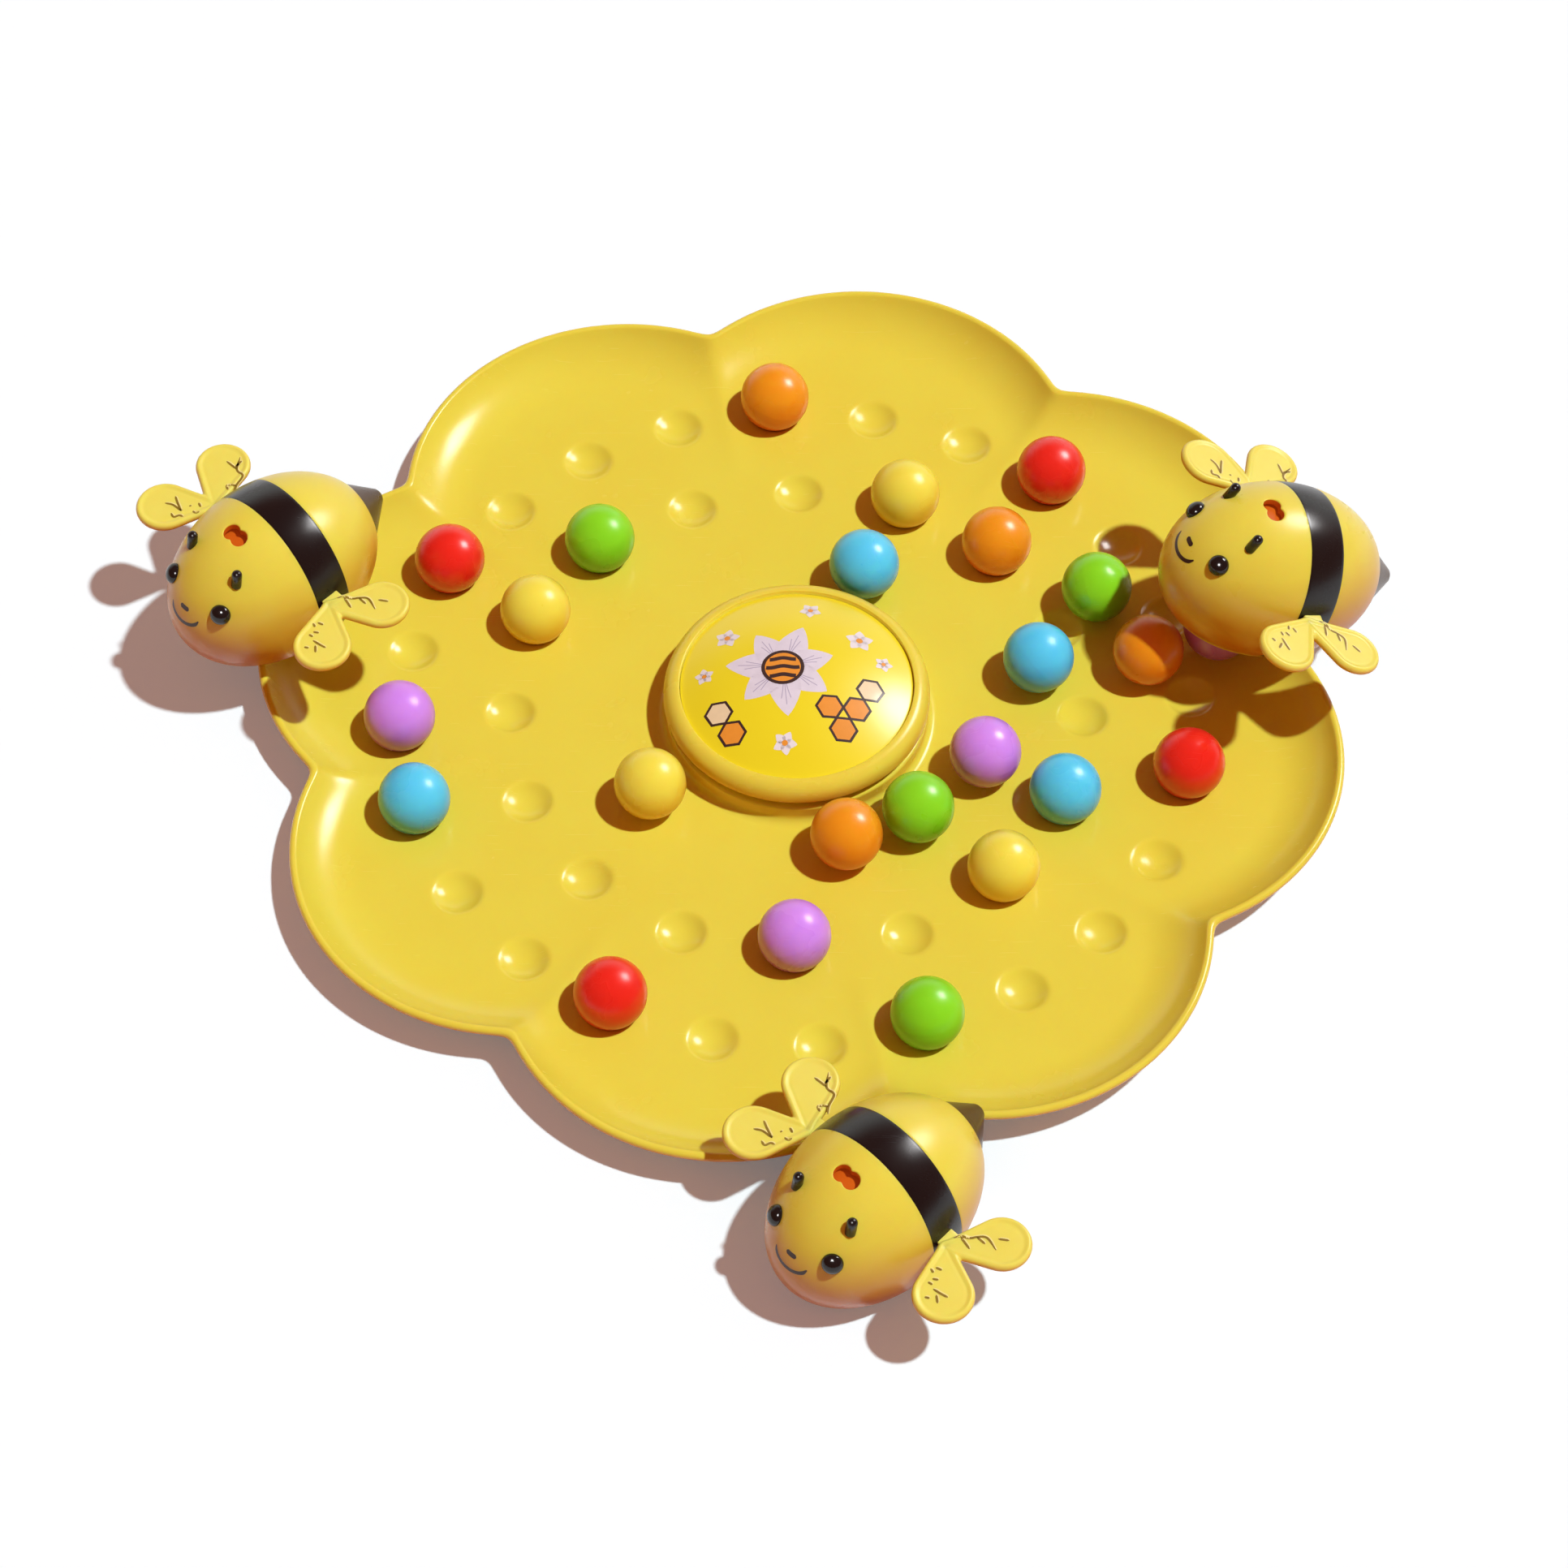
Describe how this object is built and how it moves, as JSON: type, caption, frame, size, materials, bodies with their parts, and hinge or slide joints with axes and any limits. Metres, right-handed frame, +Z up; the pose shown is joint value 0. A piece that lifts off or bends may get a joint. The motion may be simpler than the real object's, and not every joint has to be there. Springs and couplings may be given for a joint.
{
  "type": "bead catching table game",
  "caption": "Flower-shaped tray with dimples and a centre press button, loose round beads, and hollow toy bees that swallow beads through a soft-fingered mouth.",
  "frame": {"origin": "centre of the bottom cover on the table plane, under the press button", "axes": "+Z up out of the tray, +X to the right and +Y away from the viewer, as the game lies in the picture"},
  "size_m": [0.3181, 0.3229, 0.0601],
  "materials": {
    "tray_yellow": "satin",
    "button_yellow": "gloss",
    "label_print": "gloss",
    "cover_plastic": "matte",
    "spring_steel": "satin",
    "screw_steel": "satin",
    "bee_yellow": "gloss",
    "bee_black": "gloss",
    "belly_plastic": "matte",
    "soft_fingers": "matte",
    "stinger_brown": "gloss",
    "wing_plastic": "satin",
    "bead_orange": "gloss",
    "bead_yellow": "gloss",
    "bead_blue": "gloss",
    "bead_red": "gloss",
    "bead_green": "gloss",
    "bead_violet": "gloss"
  },
  "bodies": {
    "tray": {"tray": "tray_yellow", "bottom_cover": "cover_plastic", "cover_screws": "screw_steel", "button_spring": "spring_steel"},
    "button": {"button_cap": "button_yellow", "button_label": "label_print"},
    "bee_1": {"bee_1_front_shell": "bee_yellow", "bee_1_rear_shell": "bee_yellow", "bee_1_band": "bee_black", "bee_1_base_plate": "belly_plastic", "bee_1_catcher_ring": "soft_fingers", "bee_1_wings": "wing_plastic", "bee_1_eyes": "bee_black", "bee_1_feelers": "bee_black", "bee_1_base_screws": "screw_steel"},
    "bee_1_stinger": {"bee_1_stinger_plug": "stinger_brown"},
    "bee_2": {"bee_2_front_shell": "bee_yellow", "bee_2_rear_shell": "bee_yellow", "bee_2_band": "bee_black", "bee_2_base_plate": "belly_plastic", "bee_2_catcher_ring": "soft_fingers", "bee_2_wings": "wing_plastic", "bee_2_eyes": "bee_black", "bee_2_feelers": "bee_black", "bee_2_base_screws": "screw_steel"},
    "bee_2_stinger": {"bee_2_stinger_plug": "stinger_brown"},
    "bee_3": {"bee_3_front_shell": "bee_yellow", "bee_3_rear_shell": "bee_yellow", "bee_3_band": "bee_black", "bee_3_base_plate": "belly_plastic", "bee_3_catcher_ring": "soft_fingers", "bee_3_wings": "wing_plastic", "bee_3_eyes": "bee_black", "bee_3_feelers": "bee_black", "bee_3_base_screws": "screw_steel"},
    "bee_3_stinger": {"bee_3_stinger_plug": "stinger_brown"},
    "bead_blue_1": {"bead_blue_1": "bead_blue"},
    "bead_blue_2": {"bead_blue_2": "bead_blue"},
    "bead_blue_3": {"bead_blue_3": "bead_blue"},
    "bead_blue_4": {"bead_blue_4": "bead_blue"},
    "bead_green_1": {"bead_green_1": "bead_green"},
    "bead_green_2": {"bead_green_2": "bead_green"},
    "bead_green_3": {"bead_green_3": "bead_green"},
    "bead_green_4": {"bead_green_4": "bead_green"},
    "bead_orange_1": {"bead_orange_1": "bead_orange"},
    "bead_orange_2": {"bead_orange_2": "bead_orange"},
    "bead_orange_3": {"bead_orange_3": "bead_orange"},
    "bead_orange_4": {"bead_orange_4": "bead_orange"},
    "bead_red_1": {"bead_red_1": "bead_red"},
    "bead_red_2": {"bead_red_2": "bead_red"},
    "bead_red_3": {"bead_red_3": "bead_red"},
    "bead_red_4": {"bead_red_4": "bead_red"},
    "bead_violet_1": {"bead_violet_1": "bead_violet"},
    "bead_violet_2": {"bead_violet_2": "bead_violet"},
    "bead_violet_3": {"bead_violet_3": "bead_violet"},
    "bead_violet_4": {"bead_violet_4": "bead_violet"},
    "bead_yellow_1": {"bead_yellow_1": "bead_yellow"},
    "bead_yellow_2": {"bead_yellow_2": "bead_yellow"},
    "bead_yellow_3": {"bead_yellow_3": "bead_yellow"},
    "bead_yellow_4": {"bead_yellow_4": "bead_yellow"}
  },
  "joints": [
    {"name": "button_press", "type": "slide", "parent": "tray", "child": "button", "axis": [0, 0, -1], "range_m": [0, 0.002], "stiffness_N_per_m": 300, "springref_m": -0.003, "deforming": ["button_spring"]},
    {"name": "bee_1_lift", "type": "slide", "parent": "tray", "child": "bee_1", "axis": [0, 0, 1], "range_m": [0, 0.07]},
    {"name": "bee_1_stinger_turn", "type": "hinge", "parent": "bee_1", "child": "bee_1_stinger", "pos_m": [-0.13209, 0.02687, 0.0303], "axis": [-0.7254, -0.6884, 0], "range_deg": [0, 90]},
    {"name": "bee_2_lift", "type": "slide", "parent": "tray", "child": "bee_2", "axis": [0, 0, 1], "range_m": [0, 0.07]},
    {"name": "bee_2_stinger_turn", "type": "hinge", "parent": "bee_2", "child": "bee_2_stinger", "pos_m": [0.11866, 0.02345, 0.03451], "axis": [-0.8932, -0.2444, 0.3774], "range_deg": [0, 90]},
    {"name": "bee_3_lift", "type": "slide", "parent": "tray", "child": "bee_3", "axis": [0, 0, 1], "range_m": [0, 0.07]},
    {"name": "bee_3_stinger_turn", "type": "hinge", "parent": "bee_3", "child": "bee_3_stinger", "pos_m": [0.01794, -0.15046, 0.017], "axis": [-0.7071, -0.7071, 0], "range_deg": [0, 90]},
    {"name": "blue_1_lift", "type": "slide", "parent": "tray", "child": "bead_blue_1", "axis": [0, 0, 1], "range_m": [0, 0.06]},
    {"name": "blue_2_lift", "type": "slide", "parent": "tray", "child": "bead_blue_2", "axis": [0, 0, 1], "range_m": [0, 0.06]},
    {"name": "blue_3_lift", "type": "slide", "parent": "tray", "child": "bead_blue_3", "axis": [0, 0, 1], "range_m": [0, 0.06]},
    {"name": "blue_4_lift", "type": "slide", "parent": "tray", "child": "bead_blue_4", "axis": [0, 0, 1], "range_m": [0, 0.06]},
    {"name": "green_1_lift", "type": "slide", "parent": "tray", "child": "bead_green_1", "axis": [0, 0, 1], "range_m": [0, 0.06]},
    {"name": "green_2_lift", "type": "slide", "parent": "tray", "child": "bead_green_2", "axis": [0, 0, 1], "range_m": [0, 0.06]},
    {"name": "green_3_lift", "type": "slide", "parent": "tray", "child": "bead_green_3", "axis": [0, 0, 1], "range_m": [0, 0.06]},
    {"name": "green_4_lift", "type": "slide", "parent": "tray", "child": "bead_green_4", "axis": [0, 0, 1], "range_m": [0, 0.06]},
    {"name": "orange_1_lift", "type": "slide", "parent": "tray", "child": "bead_orange_1", "axis": [0, 0, 1], "range_m": [0, 0.06]},
    {"name": "orange_2_lift", "type": "slide", "parent": "tray", "child": "bead_orange_2", "axis": [0, 0, 1], "range_m": [0, 0.06]},
    {"name": "orange_3_lift", "type": "slide", "parent": "tray", "child": "bead_orange_3", "axis": [-0.6, -0.25, 0.76], "range_m": [0, 0.035]},
    {"name": "orange_4_lift", "type": "slide", "parent": "tray", "child": "bead_orange_4", "axis": [0, 0, 1], "range_m": [0, 0.06]},
    {"name": "red_1_lift", "type": "slide", "parent": "tray", "child": "bead_red_1", "axis": [0, 0, 1], "range_m": [0, 0.06]},
    {"name": "red_2_lift", "type": "slide", "parent": "tray", "child": "bead_red_2", "axis": [0, 0, 1], "range_m": [0, 0.06]},
    {"name": "red_3_lift", "type": "slide", "parent": "tray", "child": "bead_red_3", "axis": [0, 0, 1], "range_m": [0, 0.06]},
    {"name": "red_4_lift", "type": "slide", "parent": "tray", "child": "bead_red_4", "axis": [0, 0, 1], "range_m": [0, 0.06]},
    {"name": "violet_1_lift", "type": "slide", "parent": "tray", "child": "bead_violet_1", "axis": [0, 0, 1], "range_m": [0, 0.06]},
    {"name": "violet_2_lift", "type": "slide", "parent": "tray", "child": "bead_violet_2", "axis": [0, 0, 1], "range_m": [0, 0.06]},
    {"name": "violet_3_lift", "type": "slide", "parent": "tray", "child": "bead_violet_3", "axis": [0, 0, 1], "range_m": [0, 0.06]},
    {"name": "violet_4_roll", "type": "hinge", "parent": "bee_2", "child": "bead_violet_4", "pos_m": [0.1071, 0.02028, 0.01569], "axis": [0, 0, 1], "continuous": true},
    {"name": "yellow_1_lift", "type": "slide", "parent": "tray", "child": "bead_yellow_1", "axis": [0, 0, 1], "range_m": [0, 0.06]},
    {"name": "yellow_2_lift", "type": "slide", "parent": "tray", "child": "bead_yellow_2", "axis": [0, 0, 1], "range_m": [0, 0.06]},
    {"name": "yellow_3_lift", "type": "slide", "parent": "tray", "child": "bead_yellow_3", "axis": [0, 0, 1], "range_m": [0, 0.06]},
    {"name": "yellow_4_lift", "type": "slide", "parent": "tray", "child": "bead_yellow_4", "axis": [0, 0, 1], "range_m": [0, 0.06]}
  ]
}
